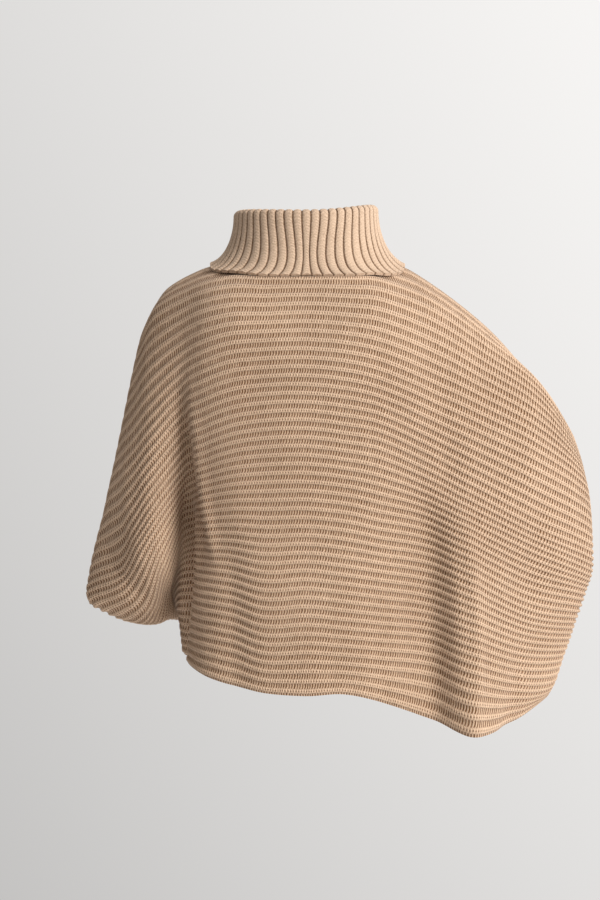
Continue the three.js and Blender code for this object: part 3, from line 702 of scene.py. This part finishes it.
def edge_on_panel(panel, c, s, beyond=1.0):
    """Where a rib ends on a panel. The ribs lie closer together at the middle, and fan out at the sides."""
    c = c * (1 - EDGE_FAN + EDGE_FAN * c**2)
    s = np.sqrt(1 - c**2)
    depth = EDGE["back" if panel is back else "front"] * s ** EDGE["roundness"]
    return EDGE["share"] * c * beyond, (depth + EDGE["corner"] * np.abs(s * c)) * beyond


def collar_middle(count):
    """Middle of the collar's wall: a row for each level, a column for each place round the neck."""
    turn = np.arange(count) / count
    c, s = np.cos(2 * math.pi * turn), np.sin(2 * math.pi * turn)
    neck = both_panels(turn, lambda p, c, s: p.point(NECK_SHARE * c, p.neckline(NECK_SHARE * c)))
    upright = both_panels(turn, lambda p, c, s: outward_at(p, NECK_SHARE * c, p.neckline(NECK_SHARE * c))[0])
    leave = unit(np.cross(upright, np.roll(neck, -1, 0) - np.roll(neck, 1, 0)))
    foot = neck + leave * SEAM_GAP
    depth = np.where(s > 0, STAND["back"], STAND["front"])
    side = np.where(c > 0, FOLD_TOP["left"], FOLD_TOP["right"]) * c**2
    end = np.where(s > 0, FOLD_TOP["back"], FOLD_TOP["front"]) * s**2
    top = np.stack([c * STAND["half width"], s * depth, side + end - FOLD_RADIUS - RIB_TOP], -1)
    away = unit(np.stack([c / STAND["half width"], s / depth, np.zeros(count)], -1))
    rests = both_panels(turn, lambda p, c, s: p.point(*edge_on_panel(p, c, s)))
    lift = both_panels(turn, lambda p, c, s: outward_at(p, *edge_on_panel(p, c, s))[0])
    beyond = both_panels(turn, lambda p, c, s: p.point(*edge_on_panel(p, c, s, EDGE_BEYOND)))
    rows = []
    for n in range(COLLAR_ROWS["stand"]):
        rows.append(bridge(foot, leave * FOOT_REACH, top, UP, n / COLLAR_ROWS["stand"]))
    for n in range(COLLAR_ROWS["fold"]):
        turned = math.pi * n / COLLAR_ROWS["fold"]
        rows.append(top + away * FOLD_RADIUS * (1 - math.cos(turned)) + UP * FOLD_RADIUS * math.sin(turned))
    edge = rests + lift * (RIB_TOP - INSIDE + REST_GAP)
    for n in range(COLLAR_ROWS["fall"] + 1):
        rows.append(bridge(top + away * 2 * FOLD_RADIUS, -UP, edge, unit(beyond - rests),
                           n / COLLAR_ROWS["fall"]))
    return np.array(rows)


def collar_height(ribs):
    """Round ribs with a narrow groove between them."""
    from_ridge = np.abs(ribs % 1 - 0.5)
    return RIB_FOOT + (RIB_TOP - RIB_FOOT) * np.sqrt(1 - np.minimum(2 * from_ridge, 1) ** 2)


def collar_cloth():
    cloth = Cloth()
    faces = []
    for count, outer in ((COLLAR_RIBS * POINTS_A_RIB, True), (COLLAR_RIBS * 2, False)):
        middle = collar_middle(count)
        if not outer:
            middle = middle[::2] if len(middle) % 2 else np.concatenate([middle[::2], middle[-1:]])
        around = np.roll(middle, -1, 1) - np.roll(middle, 1, 1)
        facing = unit(np.cross(np.gradient(middle, axis=0), around))
        ribs = np.arange(count + 1) * COLLAR_RIBS / count
        height = collar_height(ribs[:-1]) if outer else np.full(count, INSIDE)
        places = middle + facing * height[None, :, None]
        places = np.concatenate([places, places[:, :1]], 1)
        run = run_along(middle[:, 0])
        stitches = np.stack(np.broadcast_arrays(run[:, None] / STITCH, ribs[None, :]), -1)
        faces.append(cloth.grid(places, stitches, flip=not outer))
    shown, hidden = faces
    cloth.rim(shown[0], hidden[0])
    cloth.rim(shown[-1, ::-1], hidden[-1, ::-1])
    return cloth


GROOVE = (0.13, 0.03)  # from a groove's middle in ribs: where it ends, and where it is full
LOOP_SLANT = 1.2


def collar_stitches(along, ribs, uneven):
    """Smooth fuzzy ribs with faint loops, and a narrow groove, painted darker in the groove and between the
    loops as painted shade.
    """
    from_groove = abs((ribs + 0.5).part_of_one() - 0.5)
    groove = from_groove.fade(*GROOVE)
    loops = 0.5 + 0.5 * (along + LOOP_SLANT * from_groove).wave()
    height = 0.3 * loops - 0.6 * groove
    # painted shade in the groove and between the loops, with a random change of tone
    shade = 0.7 * groove + 0.12 * (1 - loops) + 0.2 * uneven
    return height, shade


# the collar yarn's colour in full light, and the colour of its painted shade in the grooves, which is also
# the dark end of its random tone
COLLAR_LIGHT = (0.64, 0.465, 0.33, 1)
COLLAR_DARK = (0.17, 0.085, 0.035, 1)
collar_material = knit("collar_knit", COLLAR_LIGHT, COLLAR_DARK, collar_stitches)
collar_knit = collar_cloth().piece("collar_knit", collar_material, "collar_knit")
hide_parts("collar")

# The studio
# A round pale floor well below the hem, a large soft light to the right of the camera, and pale walls.
FLOOR_HEIGHT = -1.42
FLOOR_RADIUS = 1.9
FLOOR_THICK = 0.04
FLOOR_COLOUR = (0.82, 0.81, 0.80, 1)
FLOOR_ROUGHNESS = 0.8

bpy.ops.mesh.primitive_cylinder_add(vertices=128, radius=FLOOR_RADIUS, depth=FLOOR_THICK,
                                    location=(0, 0, FLOOR_HEIGHT - FLOOR_THICK / 2))
floor = bpy.context.object
floor.name = "studio_floor"
floor_paint = bpy.data.materials.new("floor_paint")
floor_paint.use_nodes = True
floor_shader = floor_paint.node_tree.nodes["Principled BSDF"]
floor_shader.inputs["Base Color"].default_value = FLOOR_COLOUR
floor_shader.inputs["Roughness"].default_value = FLOOR_ROUGHNESS
floor.data.materials.append(floor_paint)

LIGHTS = [
    {"name": "window", "place": (-2.3, 2.4, 0.8), "size": 1.8, "power": 108},
    {"name": "room", "place": (1.6, 2.6, 0.9), "size": 2.2, "power": 6},
]
GARMENT_MIDDLE = (-0.03, 0, -0.3)


def soft_light(name, place, size, power):
    data = bpy.data.lights.new(name, "AREA")
    data.shape = "DISK"
    data.size = size
    data.energy = power
    light = bpy.data.objects.new(name, data)
    light.location = place
    aim = np.array(GARMENT_MIDDLE) - np.array(place)
    level = math.hypot(aim[0], aim[1])
    light.rotation_euler = (math.atan2(level, -aim[2]), 0, math.atan2(aim[1], aim[0]) - math.pi / 2)
    scene.collection.objects.link(light)


for light in LIGHTS:
    soft_light(**light)

# the pale walls, as light from each direction: dimmer behind the camera than ahead of it, and brighter
# towards the window and the ceiling
WALL_LIGHT = {"ahead": 0.75, "behind": 0.32, "window": 0.66, "ceiling": 0.40, "least": 0.24, "most": 1.6}
WALL_COLOUR = (1.0, 0.985, 0.97, 1)
world = bpy.data.worlds.new("studio")
world.use_nodes = True
backdrop = world.node_tree.nodes["Background"]
walls = Socket(world.node_tree, None).node("ShaderNodeTexCoord", output=0)
to_left = walls.node("ShaderNodeSeparateXYZ", inputs={0: walls})
upwards = walls.node("ShaderNodeSeparateXYZ", inputs={0: walls}, output=2)
backwards = walls.node("ShaderNodeSeparateXYZ", inputs={0: walls}, output=1)
glow = backwards.node("ShaderNodeMapRange", inputs={
    "Value": backwards, "From Min": -1.0, "To Min": WALL_LIGHT["ahead"], "To Max": WALL_LIGHT["behind"]})
glow = glow - WALL_LIGHT["window"] * to_left + WALL_LIGHT["ceiling"] * upwards
glow = glow.math("MAXIMUM", glow, WALL_LIGHT["least"])
glow = glow.math("MINIMUM", glow, WALL_LIGHT["most"])
world.node_tree.links.new(glow.out, backdrop.inputs["Strength"])
backdrop.inputs["Color"].default_value = WALL_COLOUR
scene.world = world
scene.view_settings.view_transform = "Standard"
